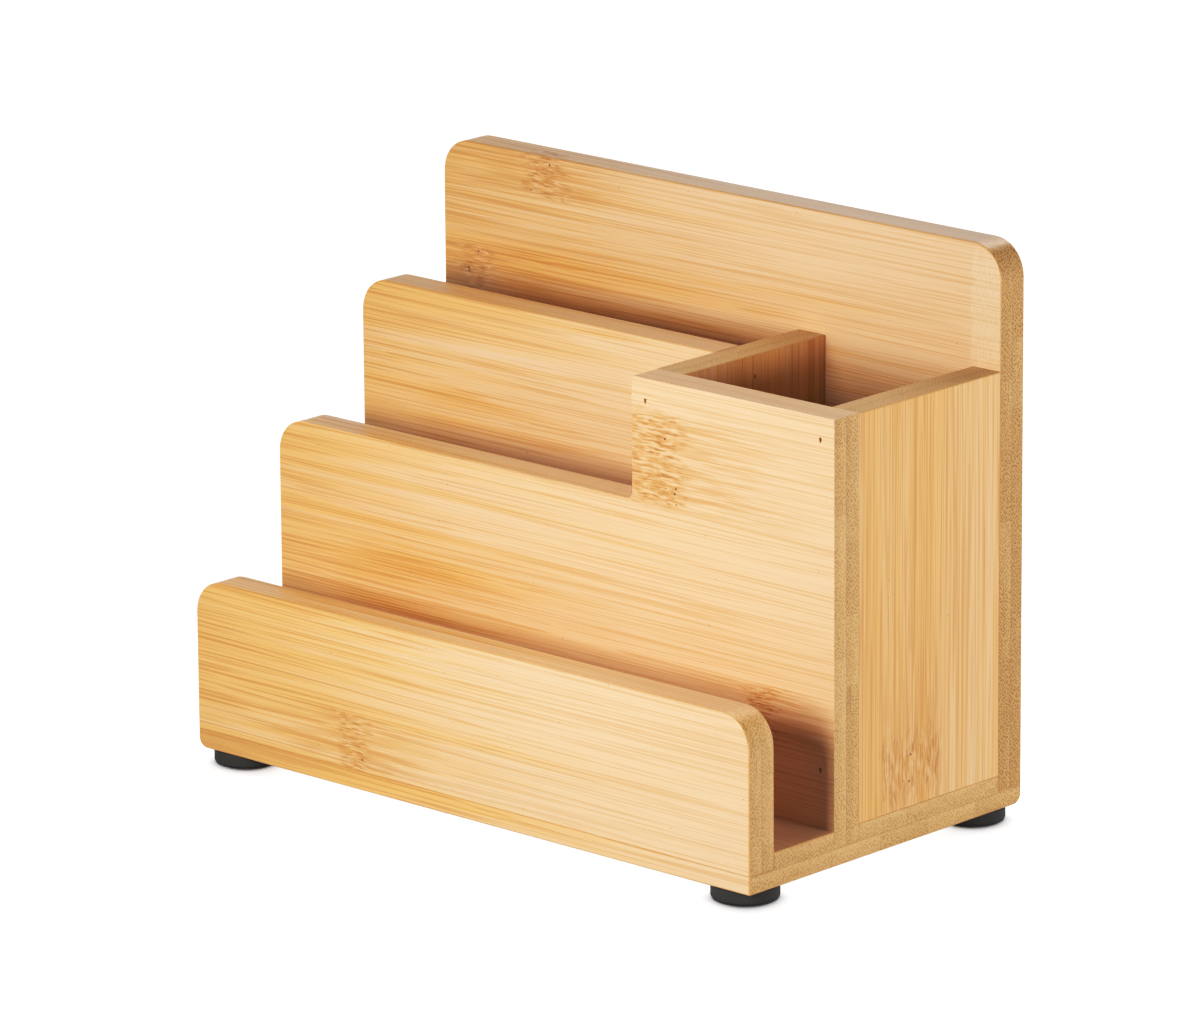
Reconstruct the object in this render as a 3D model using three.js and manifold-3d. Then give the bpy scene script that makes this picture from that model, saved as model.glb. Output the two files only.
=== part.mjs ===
// Desk letter sorter with a built-in pen cup, made of laminated bamboo board.
//
// Four uprights rise in steps from a base board and leave three letter slots between them. Two cross walls
// between the second upright and the back panel close a square pen cup at the right-hand end. The uprights
// stand in rabbets and housings cut in the base; the cross walls are butted. Every joint is glued, and held
// by steel brads while the glue sets. Four self-adhesive foam pads are the feet.
//
// Millimetres, +Z up. The front faces -Y. The origin is on the desk, under the middle of the holder.

import * as THREE from "three";
import { mergeVertices } from "three/addons/utils/BufferGeometryUtils.js";
import Module from "manifold-3d";

// ---------------------------------------------------------------- driving dimensions

const WIDTH = 210; // across the front
const BOARD = 10; // thickness of every board
const SLOT = 24.5; // clear gap between neighbouring uprights
const HOUSING = 4.5; // depth of the rabbets and housings in the base

// Heights are above the underside of the base board.
const FRONT_HEIGHT = 50;
const STEP_HEIGHT = 90.5; // the low part of the second upright
const CUP_HEIGHT = 125.5; // the cup's rim, and the third upright
const BACK_HEIGHT = 160.5;
const CUP_START = 136.5; // from the left-hand end to the cup's inner wall

const CORNER_RADIUS = 10; // exposed top corners of the uprights
const RIM_RADIUS = 1; // corner of the cup's front wall at the notch
const NOTCH_FILLET = 2; // inside corner of the notch
const BASE_ROUND = 3; // the base's bottom edge, at the left-hand end and along the rear

const PAD_RADIUS = 9.5;
const PAD_HEIGHT = 3.7;
const PAD_EASE = 0.8; // soft edge round the pad's sole
const TAPE_RADIUS = 9.2;
const TAPE_HEIGHT = 0.3;
const PAD_INSET_X = 10; // centre of a pad from the end of the base
const PAD_INSET_Y = 9.5; // and from its front or rear edge

const BRAD = { length: 25, width: 1.25, thickness: 1, headWidth: 1.8, headHeight: 0.8, point: 1.6 };
const BRAD_SET = 1.2; // how far a head is driven below the surface
const BRAD_CLEARANCE = 0.1; // round a brad in its hole
const BRAD_TOP = 6.5; // upper brads, below the cup's rim
const BRAD_LOW = 16.5; // lower brads, above the base's top
const BRAD_END = 25; // base brads, from the end of a board

const CURVE_SEGMENTS = 10;
const EASE_SEGMENTS = 2;
const PAD_SIDES = 48;
const CUT_PAST = 5; // how far a cutter runs past what it cuts

// ---------------------------------------------------------------- places that follow from them

const DEPTH = 4 * BOARD + 3 * SLOT;
const LEFT = -WIDTH / 2;
const RIGHT = WIDTH / 2;
const FRONT = -DEPTH / 2;
const PITCH = BOARD + SLOT;
const STEP_FRONT = FRONT + PITCH; // front faces of the second, third and fourth uprights
const DIVIDER_FRONT = FRONT + 2 * PITCH;
const BACK_FRONT = FRONT + 3 * PITCH;
const TONGUE = BOARD - HOUSING; // what is left of the base under an upright
const CUP_LEFT = LEFT + CUP_START;
const WALL_FRONT = STEP_FRONT + BOARD;
const WALL_LENGTH = BACK_FRONT - WALL_FRONT;
const FOOT_HEIGHT = PAD_HEIGHT + TAPE_HEIGHT;

// ---------------------------------------------------------------- materials

const bamboo = new THREE.MeshStandardMaterial({ color: 0xddb06c, roughness: 0.45, metalness: 0 });
const bambooUpright = new THREE.MeshStandardMaterial({ color: 0xd9ab68, roughness: 0.45, metalness: 0 });
const foam = new THREE.MeshStandardMaterial({ color: 0x1d1d1b, roughness: 0.9, metalness: 0 });
const tape = new THREE.MeshStandardMaterial({ color: 0x2b2a27, roughness: 0.6, metalness: 0 });
const steel = new THREE.MeshStandardMaterial({ color: 0x8f8f8d, roughness: 0.35, metalness: 1 });

// ---------------------------------------------------------------- joining and cutting

const wasm = await Module();
wasm.setup();

function toSolid(geometry, matrix) {
  const bare = geometry.clone().applyMatrix4(matrix);
  bare.deleteAttribute("normal");
  bare.deleteAttribute("uv");
  const merged = mergeVertices(bare);
  return new wasm.Manifold(
    new wasm.Mesh({
      numProp: 3,
      vertProperties: merged.attributes.position.array,
      triVerts: new Uint32Array(merged.index.array),
    }),
  );
}

function toGeometry(solid) {
  const mesh = solid.getMesh();
  const geometry = new THREE.BufferGeometry();
  geometry.setAttribute("position", new THREE.BufferAttribute(mesh.vertProperties, mesh.numProp));
  geometry.setIndex(new THREE.BufferAttribute(mesh.triVerts, 1));
  return geometry.toNonIndexed();
}

// Cuts placed tool meshes out of a placed mesh. All of them are in the same frame.
function cut(mesh, tools) {
  mesh.updateMatrix();
  const toLocal = mesh.matrix.clone().invert();
  let solid = toSolid(mesh.geometry, new THREE.Matrix4());
  for (const tool of tools) {
    tool.updateMatrix();
    const local = new THREE.Matrix4().multiplyMatrices(toLocal, tool.matrix);
    solid = solid.subtract(toSolid(tool.geometry, local));
  }
  mesh.geometry = toGeometry(solid);
  mesh.geometry.computeVertexNormals();
}

// ---------------------------------------------------------------- boards

function named(name, geometry, material) {
  const mesh = new THREE.Mesh(geometry, material);
  mesh.name = name;
  return mesh;
}

// A box given by its lowest and highest corners.
function block(low, high) {
  const size = high.map((value, axis) => value - low[axis]);
  const mesh = new THREE.Mesh(new THREE.BoxGeometry(...size));
  mesh.position.set(...low.map((value, axis) => value + size[axis] / 2));
  return mesh;
}

// An upright from its outline in X and Z. Its front face lies at y = front.
function upright(name, outline, front) {
  const geometry = new THREE.ExtrudeGeometry(outline, {
    depth: BOARD,
    bevelEnabled: false,
    curveSegments: CURVE_SEGMENTS,
  });
  const mesh = named(name, geometry, bamboo);
  mesh.rotation.x = Math.PI / 2; // outline stands up; its thickness runs from -Y to the mesh's own y
  mesh.position.y = front + BOARD;
  return mesh;
}

// The outline of an upright with a rounded top left corner, and a rounded or square top right one.
function uprightOutline(right, height, rightRadius) {
  const outline = new THREE.Shape();
  outline.moveTo(LEFT, TONGUE);
  outline.lineTo(right, TONGUE);
  if (rightRadius) {
    outline.lineTo(right, height - rightRadius);
    outline.absarc(right - rightRadius, height - rightRadius, rightRadius, 0, Math.PI / 2);
  } else {
    outline.lineTo(right, height);
  }
  outline.lineTo(LEFT + CORNER_RADIUS, height);
  outline.absarc(LEFT + CORNER_RADIUS, height - CORNER_RADIUS, CORNER_RADIUS, Math.PI / 2, Math.PI);
  outline.closePath();
  return outline;
}

// The second upright: low along the letter slots, and as high as the rim where it is the cup's front wall.
function steppedOutline() {
  const outline = new THREE.Shape();
  const filletX = CUP_LEFT - NOTCH_FILLET;
  const filletZ = STEP_HEIGHT + NOTCH_FILLET;
  outline.moveTo(LEFT, TONGUE);
  outline.lineTo(RIGHT, TONGUE);
  outline.lineTo(RIGHT, CUP_HEIGHT);
  outline.lineTo(CUP_LEFT + RIM_RADIUS, CUP_HEIGHT);
  outline.absarc(CUP_LEFT + RIM_RADIUS, CUP_HEIGHT - RIM_RADIUS, RIM_RADIUS, Math.PI / 2, Math.PI);
  outline.lineTo(CUP_LEFT, filletZ);
  outline.absarc(filletX, filletZ, NOTCH_FILLET, 0, -Math.PI / 2, true);
  outline.lineTo(LEFT + CORNER_RADIUS, STEP_HEIGHT);
  outline.absarc(LEFT + CORNER_RADIUS, STEP_HEIGHT - CORNER_RADIUS, CORNER_RADIUS, Math.PI / 2, Math.PI);
  outline.closePath();
  return outline;
}

// What a round-over takes off a bottom edge that lies at u = 0, v = 0 and faces -U.
function roundOverOutline() {
  const outline = new THREE.Shape();
  outline.moveTo(-CUT_PAST, -CUT_PAST);
  outline.lineTo(BASE_ROUND, -CUT_PAST);
  outline.lineTo(BASE_ROUND, 0);
  outline.absarc(BASE_ROUND, BASE_ROUND, BASE_ROUND, -Math.PI / 2, -Math.PI, true);
  outline.lineTo(-CUT_PAST, BASE_ROUND);
  outline.closePath();
  return outline;
}

// Cutters for the rounded bottom edges: the left-hand end, along Y, and the rear, along X.
function roundOvers() {
  const overrun = (length) => length + 2 * CUT_PAST;
  const cutter = (length) => {
    const options = { depth: overrun(length), bevelEnabled: false, curveSegments: CURVE_SEGMENTS };
    return new THREE.Mesh(new THREE.ExtrudeGeometry(roundOverOutline(), options));
  };
  const left = cutter(DEPTH);
  left.rotation.x = Math.PI / 2;
  left.position.set(LEFT, -FRONT + CUT_PAST, 0);
  const rear = cutter(WIDTH);
  rear.rotation.set(Math.PI / 2, 0, -Math.PI / 2, "ZYX");
  rear.position.set(LEFT - CUT_PAST, -FRONT, 0);
  return [left, rear];
}

// The base: rabbets at the front and the rear, a through housing for the second upright, and one for the
// third that stops at the cup.
function baseBoard() {
  const mesh = block([LEFT, FRONT, 0], [RIGHT, -FRONT, BOARD]);
  mesh.name = "base_board";
  mesh.material = bamboo;
  const past = (value, side) => value + side * CUT_PAST;
  const groove = (from, to, right) => block([past(LEFT, -1), from, TONGUE], [right, to, past(BOARD, 1)]);
  cut(mesh, [
    groove(past(FRONT, -1), FRONT + BOARD, past(RIGHT, 1)),
    groove(STEP_FRONT, STEP_FRONT + BOARD, past(RIGHT, 1)),
    groove(DIVIDER_FRONT, DIVIDER_FRONT + BOARD, CUP_LEFT),
    groove(BACK_FRONT, past(-FRONT, 1), past(RIGHT, 1)),
    ...roundOvers(),
  ]);
  return mesh;
}

// A cross wall of the cup, with its fibres upright. Its left face lies at x = left.
function crossWall(name, left) {
  const mesh = block(
    [left, WALL_FRONT, BOARD],
    [left + BOARD, WALL_FRONT + WALL_LENGTH, CUP_HEIGHT],
  );
  mesh.name = name;
  mesh.material = bambooUpright;
  return mesh;
}

// ---------------------------------------------------------------- brads

// A headed wire nail along -Z, its head's top at z = -BRAD_SET. It is grown by a clearance for its hole,
// which also runs up past the surface.
function bradGeometry(clearance, runOut) {
  const half = BRAD.width / 2 + clearance;
  const halfHead = BRAD.headWidth / 2 + clearance;
  const top = -BRAD_SET + runOut;
  const neck = -BRAD_SET - BRAD.headHeight - clearance;
  const tip = -BRAD_SET - BRAD.length - clearance;
  const tipHalf = 0.2;
  const profile = new THREE.Shape();
  profile.moveTo(-halfHead, top);
  profile.lineTo(-halfHead, neck);
  profile.lineTo(-half, neck);
  profile.lineTo(-half, tip + BRAD.point);
  profile.lineTo(-tipHalf, tip);
  profile.lineTo(tipHalf, tip);
  profile.lineTo(half, tip + BRAD.point);
  profile.lineTo(half, neck);
  profile.lineTo(halfHead, neck);
  profile.lineTo(halfHead, top);
  profile.closePath();
  const thickness = BRAD.thickness + 2 * clearance;
  const geometry = new THREE.ExtrudeGeometry(profile, { depth: thickness, bevelEnabled: false });
  geometry.translate(0, 0, -thickness / 2);
  geometry.rotateX(Math.PI / 2); // length along Z
  geometry.rotateZ(Math.PI / 2); // head's long side along Y
  return geometry;
}

// Ways to drive a brad: turned about X, then about Z.
const FROM_FRONT = [Math.PI / 2, 0];
const FROM_REAR = [Math.PI / 2, Math.PI];
const FROM_RIGHT = [Math.PI / 2, Math.PI / 2];
const FROM_BELOW_ALONG_X = [Math.PI, Math.PI / 2];
const FROM_BELOW_ALONG_Y = [Math.PI, 0];

function placed(object, at, [aboutX, aboutZ]) {
  object.rotation.set(aboutX, 0, aboutZ, "ZYX");
  object.position.set(...at);
  return object;
}

// Drives numbered brads through one board into another, each in a hole that both boards get.
function nail(name, places, way, through, into) {
  const brads = places.map((at, i) =>
    placed(named(`${name}_${i + 1}`, bradGeometry(0, 0), steel), at, way),
  );
  const holes = places.map((at) =>
    placed(new THREE.Mesh(bradGeometry(BRAD_CLEARANCE, 2 * BRAD_SET)), at, way),
  );
  cut(through, holes);
  cut(into, holes);
  return brads;
}

// ---------------------------------------------------------------- feet

// A foam pad standing on the desk, with a softened edge round its sole.
function pad(name) {
  const profile = new THREE.Path();
  profile.moveTo(0, 0);
  profile.lineTo(PAD_RADIUS - PAD_EASE, 0);
  profile.absarc(PAD_RADIUS - PAD_EASE, PAD_EASE, PAD_EASE, -Math.PI / 2, 0);
  profile.lineTo(PAD_RADIUS, PAD_HEIGHT);
  profile.lineTo(0, PAD_HEIGHT);
  const geometry = new THREE.LatheGeometry(profile.getPoints(EASE_SEGMENTS), PAD_SIDES);
  geometry.rotateX(Math.PI / 2);
  return named(name, geometry, foam);
}

// The adhesive disc between a pad and the base.
function adhesive(name) {
  const geometry = new THREE.CylinderGeometry(TAPE_RADIUS, TAPE_RADIUS, TAPE_HEIGHT, PAD_SIDES);
  geometry.rotateX(Math.PI / 2);
  const mesh = named(name, geometry, tape);
  mesh.position.z = PAD_HEIGHT + TAPE_HEIGHT / 2;
  return mesh;
}

function foot(corner, x, y) {
  const group = new THREE.Group();
  group.position.set(x, y, 0);
  group.add(pad(`foot_pad_${corner}`), adhesive(`foot_tape_${corner}`));
  return group;
}

// ---------------------------------------------------------------- assembly

const base = baseBoard();
const front = upright("front_panel", uprightOutline(RIGHT, FRONT_HEIGHT, CORNER_RADIUS), FRONT);
const step = upright("stepped_panel", steppedOutline(), STEP_FRONT);
const divider = upright("rear_divider", uprightOutline(CUP_LEFT, CUP_HEIGHT, 0), DIVIDER_FRONT);
const back = upright("back_panel", uprightOutline(RIGHT, BACK_HEIGHT, CORNER_RADIUS), BACK_FRONT);
const innerWall = crossWall("cup_inner_wall", CUP_LEFT);
const outerWall = crossWall("cup_outer_wall", RIGHT - BOARD);

const bradHeights = [CUP_HEIGHT - BRAD_TOP, BOARD + BRAD_LOW];
const middle = BOARD / 2;
const innerWallX = CUP_LEFT + middle;
const outerWallX = RIGHT - middle;
const baseBradXs = [LEFT + BRAD_END, 0, RIGHT - BRAD_END];
const wallBradYs = [WALL_FRONT + WALL_LENGTH / 3, WALL_FRONT + (2 * WALL_LENGTH) / 3];
const alongX = (xs, y) => xs.map((x) => [x, y, 0]);
const alongY = (x, ys) => ys.map((y) => [x, y, 0]);
const up = (x, y) => bradHeights.map((z) => [x, y, z]);

const brads = [
  nail("brad_cup_front_inner", up(innerWallX, STEP_FRONT), FROM_FRONT, step, innerWall),
  nail("brad_cup_front_outer", up(outerWallX, STEP_FRONT), FROM_FRONT, step, outerWall),
  nail("brad_cup_back_inner", up(innerWallX, -FRONT), FROM_REAR, back, innerWall),
  nail("brad_cup_back_outer", up(outerWallX, -FRONT), FROM_REAR, back, outerWall),
  nail("brad_divider", up(CUP_LEFT + BOARD, DIVIDER_FRONT + middle), FROM_RIGHT, innerWall, divider),
  nail("brad_base_front", alongX(baseBradXs, FRONT + middle), FROM_BELOW_ALONG_X, base, front),
  nail("brad_base_step", alongX(baseBradXs, STEP_FRONT + middle), FROM_BELOW_ALONG_X, base, step),
  nail(
    "brad_base_divider",
    alongX([LEFT + BRAD_END, CUP_LEFT - BRAD_END], DIVIDER_FRONT + middle),
    FROM_BELOW_ALONG_X,
    base,
    divider,
  ),
  nail("brad_base_back", alongX(baseBradXs, BACK_FRONT + middle), FROM_BELOW_ALONG_X, base, back),
  nail("brad_base_inner_wall", alongY(innerWallX, wallBradYs), FROM_BELOW_ALONG_Y, base, innerWall),
  nail("brad_base_outer_wall", alongY(outerWallX, wallBradYs), FROM_BELOW_ALONG_Y, base, outerWall),
].flat();

const boards = new THREE.Group();
boards.position.z = FOOT_HEIGHT;
boards.add(base, front, step, divider, back, innerWall, outerWall, ...brads);

const footX = WIDTH / 2 - PAD_INSET_X;
const footY = DEPTH / 2 - PAD_INSET_Y;
const feet = new THREE.Group();
feet.add(
  foot("front_left", -footX, -footY),
  foot("front_right", footX, -footY),
  foot("back_left", -footX, footY),
  foot("back_right", footX, footY),
);

const holder = new THREE.Group();
holder.name = "pen_holder_letter_sorter";
holder.add(boards, feet);

export default holder;
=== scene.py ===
# The looks of a bamboo desk organiser, with letter slots and a pen cup, around its CAD frame.
# Metres, in the frame's own axes: the front faces -Y, +X is to the right and +Z is up.

import math

import bmesh
import bpy
from mathutils import Matrix, Vector
from mathutils.bvhtree import BVHTree


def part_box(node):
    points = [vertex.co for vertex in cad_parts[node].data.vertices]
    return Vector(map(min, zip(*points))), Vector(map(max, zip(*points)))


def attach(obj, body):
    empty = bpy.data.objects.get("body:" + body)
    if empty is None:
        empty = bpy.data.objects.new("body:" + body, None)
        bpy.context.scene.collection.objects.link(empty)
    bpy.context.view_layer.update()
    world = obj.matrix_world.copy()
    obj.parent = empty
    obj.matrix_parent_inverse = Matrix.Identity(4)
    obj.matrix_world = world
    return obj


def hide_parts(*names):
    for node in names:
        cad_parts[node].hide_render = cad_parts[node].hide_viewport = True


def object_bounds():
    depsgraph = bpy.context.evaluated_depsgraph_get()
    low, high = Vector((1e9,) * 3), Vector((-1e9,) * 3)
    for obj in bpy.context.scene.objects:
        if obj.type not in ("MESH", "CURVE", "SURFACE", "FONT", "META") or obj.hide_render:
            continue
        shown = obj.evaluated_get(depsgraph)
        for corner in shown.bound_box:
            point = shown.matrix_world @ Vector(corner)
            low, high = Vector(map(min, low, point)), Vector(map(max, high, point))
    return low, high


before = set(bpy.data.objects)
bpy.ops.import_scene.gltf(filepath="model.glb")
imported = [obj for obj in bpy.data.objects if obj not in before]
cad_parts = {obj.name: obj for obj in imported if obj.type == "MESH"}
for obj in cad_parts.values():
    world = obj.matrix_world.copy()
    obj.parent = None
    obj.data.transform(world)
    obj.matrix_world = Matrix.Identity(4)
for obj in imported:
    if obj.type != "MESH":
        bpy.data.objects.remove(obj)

cad_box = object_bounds()

MM = 0.001

# ---------------------------------------------------------------- sizes

CORNER_RADIUS = 10 * MM  # exposed top corners of the uprights
RIM_RADIUS = 1 * MM  # corner of the cup's front wall at the notch
NOTCH_FILLET = 2 * MM
BASE_ROUND = 3 * MM  # the base's bottom edge, at the left-hand end and along the rear
EASE = 0.45 * MM  # sanded edges
SEAM = 0.16 * MM  # the hairline where two boards meet
EASE_STEPS = 3
ARC_STEP = math.radians(5)
NEAR = 0.06 * MM  # another board this close to an edge touches it
PLY = 5 * MM  # thickness of one layer of strips
STRIP = 20  # width of a strip, mm
PLY_SHIFT = 8.7  # how far the second ply's strips are moved sideways, mm
BUNDLES = 1.25  # from one fibre bundle to the next in its row, mm; the rows are staggered
SEED_STRIDE = (173.3, 61.7, 37.1)  # mm between the places in the texture that two boards are cut from

PIT_LENGTH = 1.7 * MM  # a brad's mark in the surface
PIT_WIDTH = 0.85 * MM
PIT_DEPTH = 0.95 * MM
PIT_SIDES = 14
PIT_RINGS = ((-0.2 * MM, 1.12), (0.0, 1.0), (0.4 * MM, 0.72), (PIT_DEPTH, 0.40))  # depth and relative size
GRAIN_DEPTH = 0.05 * MM  # relief of the bamboo
FOAM_DEPTH = 0.12 * MM  # relief of the pads
PAST = 5 * MM  # how far a cutting tool reaches past the board

WELD = 1e-6  # points this close are one
ON_PLANE = 1e-7  # points this close to a cutting plane are on it
FLAT = math.radians(0.3)  # faces that differ by less are one
SHARP = math.radians(30)  # an edge over this is sanded
CREASE = math.radians(40)  # an edge over this is shaded as sharp
SLANTED = Vector((0.531, 0.327, 0.781)).normalized()  # runs along no face and no edge

SIDES = 96  # round a pad
PAD_SOLE = 0.8 * MM  # radius of its lower edge
PAD_SHOULDER = 0.5 * MM  # height of its upper edge
SOLE_STEPS = 6
SHOULDER_STEPS = 4
TAPE_EASE = 0.06 * MM  # at the edges of an adhesive disc
FLOOR_REACH = 6

# ---------------------------------------------------------------- camera and light

# The photo's view: degrees, then the distance in metres and the lens in millimetres.
VIEW_AZIMUTH = 42.78
VIEW_ELEVATION = 15.31
VIEW_ROLL = -0.41
VIEW_DISTANCE = 2.3293
VIEW_LENS = 247.8
VIEW_CENTRE_SHIFT = Vector((-16.2, 16.2, -8.2)) * MM  # from the middle of the object to what is centred

# Softboxes: bearing and elevation in degrees, distance and size in metres, power in watts.
SOFTBOXES = (
    ("key", 7, 15, 0.5, 0.2, 2.3),
    ("right", 97, 1, 0.8, 0.3, 3.9),
    ("left", 262, 10, 1.2, 1.2, 5.6),
    ("rear_high", 205, 55, 0.9, 0.6, 2.55),
    ("rear_low", 165, 6, 0.9, 0.6, 4.2),
    ("backdrop", 223, 15, 1.2, 0.8, 0.8),
)
WORLD_STRENGTH = 0.145
WORLD_COLOUR = (0.84, 0.96, 1.16)

# The floor's own light, a broad sun.
WASH_STRENGTH = 5.7
WASH_BEARING = 223
WASH_ELEVATION = 40
WASH_SPREAD = 85

FILM_CONTRAST = 2.0  # the camera's response: how steep it is in the shadows
FILM_SHOULDER = 0.35  # how soon it levels off in the highlights
FILM_TOE = 0.6  # and how much it opens the deepest shadows
FILM_TOE_REACH = 0.08
FILM_LEVELS = (0.04, 0.09, 0.16, 0.26, 0.38, 0.52, 0.68, 0.84)  # where the response curve has points

# ---------------------------------------------------------------- colours, linear

PALE = (0.79, 0.53, 0.322)
HONEY = (0.77, 0.435, 0.158)
AMBER = (0.57, 0.295, 0.095)
LINE = (0.565, 0.262, 0.068)  # drawn streaks
BROWN = (0.36, 0.165, 0.06)
RUBBED = (0.84, 0.66, 0.45)  # the back panel's scuffed corner
UMBER = (0.14, 0.06, 0.018)  # pores in a knuckle
END_LIGHT = (0.69, 0.435, 0.20)
END_TAN = (0.515, 0.298, 0.105)
END_DARK = (0.25, 0.105, 0.024)
FOAM = (0.060, 0.056, 0.048)
FOAM_WORN = (0.080, 0.075, 0.066)
DUST = (0.30, 0.29, 0.27)
ADHESIVE = (0.030, 0.028, 0.025)
ADHESIVE_HAZE = (0.06, 0.056, 0.05)
STEEL = (0.42, 0.41, 0.40)
STEEL_DARK = (0.25, 0.24, 0.23)
FLOOR_WHITE = (0.86, 0.86, 0.86)
FLOOR_BRIGHT = (0.88, 0.88, 0.88)

LACQUER = 0.45  # weight of the clear coat over the bamboo
LACQUER_ROUGHNESS = 0.24


# ---------------------------------------------------------------- node trees


class Graph:
    """Short calls for building a node tree."""

    def __init__(self, tree):
        self.tree = tree

    def node(self, kind, inputs=None, **settings):
        made = self.tree.nodes.new(kind)
        for name, value in settings.items():
            setattr(made, name, value)
        for name, value in (inputs or {}).items():
            self.feed(made.inputs[name], value)
        return made

    def feed(self, socket, value):
        if isinstance(value, bpy.types.NodeSocket):
            self.tree.links.new(value, socket)
        elif isinstance(value, tuple) and len(value) == 3 and socket.type == "RGBA":
            socket.default_value = (*value, 1)
        else:
            socket.default_value = value

    def math(self, operation, *values, clamp=False):
        made = self.node("ShaderNodeMath", operation=operation, use_clamp=clamp)
        for socket, value in zip(made.inputs, values):
            self.feed(socket, value)
        return made.outputs[0]

    def vector(self, operation, *values):
        made = self.node("ShaderNodeVectorMath", operation=operation)
        for socket, value in zip(made.inputs, values):
            self.feed(socket, value)
        return made.outputs["Vector"]

    def parts(self, vector):
        return self.node("ShaderNodeSeparateXYZ", {0: vector}).outputs

    def combine(self, x, y, z):
        return self.node("ShaderNodeCombineXYZ", {0: x, 1: y, 2: z}).outputs[0]

    def step(self, value, start, end, to_low=0.0, to_high=1.0):
        """A smooth step from to_low at start to to_high at end. start may be above end."""
        rising = start < end
        made = self.node(
            "ShaderNodeMapRange",
            {
                "Value": value,
                "From Min": min(start, end),
                "From Max": max(start, end),
                "To Min": to_low if rising else to_high,
                "To Max": to_high if rising else to_low,
            },
            interpolation_type="SMOOTHSTEP",
        )
        return made.outputs[0]

    def noise(self, vector, detail=1.0, roughness=0.5):
        made = self.node(
            "ShaderNodeTexNoise",
            {"Vector": vector, "Scale": 1.0, "Detail": detail, "Roughness": roughness},
        )
        return made.outputs

    def cells(self, vector, dimensions="3D", randomness=1.0):
        made = self.node(
            "ShaderNodeTexVoronoi",
            {"Vector": vector, "Scale": 1.0, "Randomness": randomness},
            voronoi_dimensions=dimensions,
        )
        return made.outputs

    def mix(self, first, second, factor):
        made = self.node("ShaderNodeMix", data_type="RGBA")
        self.feed(made.inputs["Factor"], factor)
        self.feed(made.inputs[6], first)
        self.feed(made.inputs[7], second)
        return made.outputs[2]


def new_group(name, inputs, outputs):
    """A shader node group with its sockets, a Graph to fill it, and its input and output nodes."""
    group = bpy.data.node_groups.new(name, "ShaderNodeTree")
    for socket, kind in inputs:
        group.interface.new_socket(socket, in_out="INPUT", socket_type="NodeSocket" + kind)
    for socket, kind in outputs:
        group.interface.new_socket(socket, in_out="OUTPUT", socket_type="NodeSocket" + kind)
    graph = Graph(group)
    return graph, graph.node("NodeGroupInput").outputs, graph.node("NodeGroupOutput").inputs


def new_material(name):
    material = bpy.data.materials.new(name)
    material.use_nodes = True
    graph = Graph(material.node_tree)
    shader = material.node_tree.nodes["Principled BSDF"]
    return material, graph, shader


# ---------------------------------------------------------------- bamboo


def knuckle_group():
    """Where a strip's knuckle shows, added to those before it. Place is (along, across, through) in mm."""
    g, given, out = new_group(
        "knuckle",
        [("Place", "Vector"), ("Centre", "Vector"), ("Half size", "Vector"), ("Core before", "Float"),
         ("Halo before", "Float")],
        [("Core", "Float"), ("Halo", "Float")],
    )
    wobble = g.noise(g.vector("MULTIPLY", given["Place"], (0.05, 0.45, 0.3)), detail=2)["Color"]
    wobble = g.vector("MULTIPLY", g.vector("SUBTRACT", wobble, (0.5, 0.5, 0.5)), (16.0, 3.0, 0.0))
    away = g.vector("SUBTRACT", g.vector("ADD", given["Place"], wobble), given["Centre"])
    along, across, through = g.parts(g.vector("ABSOLUTE", g.vector("DIVIDE", away, given["Half size"])))
    within = g.math("MULTIPLY", g.step(across, 1.1, 0.75), g.step(through, 1.0, 0.9))
    core = g.math("MULTIPLY", g.step(along, 1.4, 0.5), within)
    halo = g.math("MULTIPLY", g.step(along, 6.5, 0.4), within)
    g.feed(out["Core"], g.math("MAXIMUM", core, given["Core before"]))
    g.feed(out["Halo"], g.math("MAXIMUM", halo, given["Halo before"]))
    return g.tree


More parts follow.
